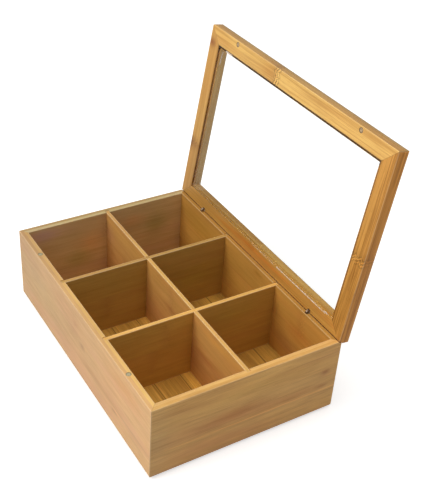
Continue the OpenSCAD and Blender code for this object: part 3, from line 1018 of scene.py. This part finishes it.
# painted shade of the step at the front of the window, together with glue
DARK_GLUE = (0.05, 0.03, 0.008, 1)
BORDER_FROM, BORDER_TO = 0.0008, 0.0014   # the border fades this far from the edge
RAGGED = 0.0012                           # noise moves it by up to half of this
SCUFFS_FROM, SCUFFS_TO = 0.006, 0.016     # the scuffs begin this far from the edge
BACK_FROM, BACK_TO = 0.074, 0.077         # along Y the border ends here
FRONT_FROM, FRONT_TO = -0.077, -0.073     # and its darkest part here

pane, tree, shader = new_material("clear_acrylic")
add, sub, mul, mul_add, absolute = sums(tree)
shader.inputs["Transmission Weight"].default_value = 1.0
shader.inputs["IOR"].default_value = PANE_INDEX
scuffs = mottle(tree, 45, 6)
turn, shift = resting_place("window_pane")
x, y, z = unpack(tree, mapped(tree, turn, shift))
pane_centre, pane_half = board_size("window_pane")
inward = calc(tree, "MINIMUM", sub(pane_half.x, absolute(x)), sub(pane_half.y, absolute(y)))
scuffed = mul(ramp(tree, scuffs, 0.5, 0.75, 0.0, 0.03),
              ramp(tree, inward, SCUFFS_FROM, SCUFFS_TO))
tree.links.new(scuffed, shader.inputs["Roughness"])

ragged = mul_add(sub(scuffs, 0.5), RAGGED, inward)
border = mul(ramp(tree, ragged, BORDER_FROM, BORDER_TO, 1.0, 0.0),
             ramp(tree, y, BACK_FROM, BACK_TO, 1.0, 0.0))
at_front = ramp(tree, y, FRONT_FROM, FRONT_TO, 1.0, 0.0)
old_glue = blend_colours(tree, at_front, BROWN_GLUE, DARK_GLUE)
tree.links.new(blend_colours(tree, border, CLEAR, old_glue), shader.inputs["Base Color"])
print("pane index", PANE_INDEX)

# %% [markdown]
# ## Light through the pane
# Cycles doesn't trace lamp light through glass well: the shadow comes out
# black and the light on the wood behind it grainy. So shadow rays, and rays
# on their way from one matt surface to another, meet a Transparent shader
# instead.

# %% Pane: shadow and diffuse rays
path = tree.nodes.new("ShaderNodeLightPath")
through = calc(tree, "MAXIMUM", path.outputs["Is Shadow Ray"], path.outputs["Is Diffuse Ray"])
clear = tree.nodes.new("ShaderNodeBsdfTransparent")
mix = tree.nodes.new("ShaderNodeMixShader")
tree.links.new(through, mix.inputs[0])
tree.links.new(shader.outputs[0], mix.inputs[1])
tree.links.new(clear.outputs[0], mix.inputs[2])
tree.links.new(mix.outputs[0], tree.nodes["Material Output"].inputs["Surface"])
dress(frame["nodes"]["window_pane"], pane)
print("pane material:", len(tree.nodes), "nodes")

# %% [markdown]
# ## Pane with broken edges
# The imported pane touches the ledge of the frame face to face, and two faces
# in one place can flicker. So a pane is cut here that stays a twentieth of a
# millimetre clear of the ledge, with its edges broken as a saw-cut sheet's
# are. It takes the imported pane's place.

# %% Pane with broken edges
CLEARANCE = 0.00005
EDGE_BREAK = 0.00015
thinner = Vector((0, 0, CLEARANCE / 2))

bpy.ops.object.select_all(action="DESELECT")
bpy.ops.mesh.primitive_cube_add(size=2, location=pane_centre - thinner,
                                scale=pane_half - thinner)
sheet = bpy.context.object
sheet.name = "pane_sheet"
bpy.ops.object.transform_apply(location=True, rotation=True, scale=True)
bpy.ops.object.mode_set(mode="EDIT")
bpy.ops.mesh.select_all(action="SELECT")
bpy.ops.mesh.bevel(offset=EDGE_BREAK, segments=1, affect="EDGES")
bpy.ops.mesh.select_all(action="SELECT")
bpy.ops.mesh.normals_make_consistent(inside=False)
bpy.ops.object.mode_set(mode="OBJECT")
OPEN_LID = (Matrix.Translation(hinge_line) @ shut.inverted().to_4x4()
            @ Matrix.Translation(-hinge_line))
sheet.matrix_world = OPEN_LID
bpy.ops.object.transform_apply(location=True, rotation=True, scale=True)
sheet.data.materials.append(pane)
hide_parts("window_pane")
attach(sheet, "lid")
print("pane", [round(v * 2000, 2) for v in pane_half], "mm,", len(sheet.data.polygons), "faces")

# %% [markdown]
# ## Glue at the window
# The pane is held by glue, and some of it was squeezed out. It set as a thin
# whitish bead in the corner between the pane and the back rail, as a blob
# near two corners of the pane, and as a drip on the inner side of the left
# stile.

# %% Glue material
PALE_GLUE, AMBER_GLUE = (0.94, 0.82, 0.70, 1), (0.72, 0.54, 0.40, 1)
GLUE_BUMP = (0.4, 0.0001)   # strength, and height in metres

glue, tree, shader = new_material("dried_glue")
lumps = mottle(tree, 500, 3)
colour = blend_colours(tree, ramp(tree, lumps, 0.35, 0.65), PALE_GLUE, AMBER_GLUE)
rough = ramp(tree, lumps, 0.3, 0.7, 0.30, 0.55)
finish_surface(tree, shader, colour, rough, lumps, *GLUE_BUMP)
print("glue material:", len(tree.nodes), "nodes")

# %% [markdown]
# ## Glue beads
# A bead is drawn out like the real one: a flat circle is extruded step by
# step along the corner, a little thicker or thinner each time. It is
# modelled on the shut lid, where the numbers are simple, and then turned
# open.

# %% Bead function
THIN_END = 0.35   # how thick a bead's ends are, beside its middle


def glue_bead(name, start, end, half, wander, seed, steps):
    """A bead between two points of the shut lid, extruded in so many steps."""
    dice = random.Random(seed)
    start, end = Vector(start) / 1000, Vector(end) / 1000
    along_x = abs(end.x - start.x) > abs(end.y - start.y)
    bpy.ops.object.select_all(action="DESELECT")
    bpy.ops.mesh.primitive_circle_add(
        vertices=12, radius=1, fill_type="NGON", location=start,
        rotation=(0, math.pi / 2, 0) if along_x else (math.pi / 2, 0, 0))
    bead = bpy.context.object
    bead.name = name
    bpy.ops.object.transform_apply(location=True, rotation=True, scale=True)
    bpy.ops.object.mode_set(mode="EDIT")
    bpy.ops.mesh.select_all(action="SELECT")
    size, place = Vector((1, 1, 1)), start
    for i in range(steps + 1):
        thick = (THIN_END if i in (0, steps) else 1) * dice.uniform(0.8, 1.15)
        target = start.lerp(end, i / steps)
        target += Vector([w / 1000 * dice.uniform(-1, 1) for w in wander])
        if i:
            bpy.ops.mesh.extrude_region_move(TRANSFORM_OT_translate={"value": target - place})
        wanted = Vector([h / 1000 * thick if h else 1 for h in half])
        shift = target if i else place
        bpy.ops.transform.resize(value=[w / s for w, s in zip(wanted, size)],
                                 center_override=shift)
        size, place = wanted, shift
    bpy.ops.mesh.select_all(action="SELECT")
    bpy.ops.mesh.normals_make_consistent(inside=False)
    bpy.ops.object.mode_set(mode="OBJECT")
    bpy.ops.object.shade_smooth_by_angle(angle=math.radians(60))
    bead.matrix_world = OPEN_LID
    bpy.ops.object.transform_apply(location=True, rotation=True, scale=True)
    bead.data.materials.append(glue)
    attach(bead, "lid")
    print(name, len(bead.data.polygons), "faces", [round(v * 1000, 1) for v in bead.dimensions])


print("bead function ready")

# %% [markdown]
# ## The six beads
# The numbers of a bead are its two ends, its half width on each axis and how
# far it wanders, in millimetres, then the seed of its dice and its steps.

# %% Glue beads
glue_bead("glue_bead_back_middle", (-8, 80.3, 82.62), (38, 80.4, 82.62),
          (0, 0.32, 0.15), (0, 0.06, 0.01), 3, 24)
glue_bead("glue_bead_back_right", (37, 80.4, 82.60), (119, 80.4, 82.60),
          (0, 0.50, 0.18), (0, 0.08, 0.01), 5, 42)
glue_bead("glue_bead_back_left", (-85, 80.4, 82.62), (-20, 80.4, 82.62),
          (0, 0.22, 0.12), (0, 0.06, 0.01), 7, 34)
glue_bead("glue_end_back", (115, 79.2, 82.90), (121, 79.4, 82.90),
          (0, 0.70, 0.18), (0, 0.30, 0.02), 9, 4)
glue_bead("glue_drip_left", (-126.0, -74, 88.2), (-126.0, -60, 87.0),
          (0.25, 0, 0.60), (0, 0, 0.70), 11, 9)
glue_bead("glue_corner_front", (-115, -78.8, 82.94), (-103, -79.0, 82.94),
          (0, 1.00, 0.14), (0, 0.25, 0.01), 13, 6)

# %% [markdown]
# ## Size of the finished object
# The box that the finished object fills is written next to the box that
# the model had when it was loaded, so that the two can be compared.

# %% Finish
sizes = {"cad": [list(map(float, v)) for v in cad_box],
         "visual": [list(map(float, v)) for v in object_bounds()]}
print(sizes)
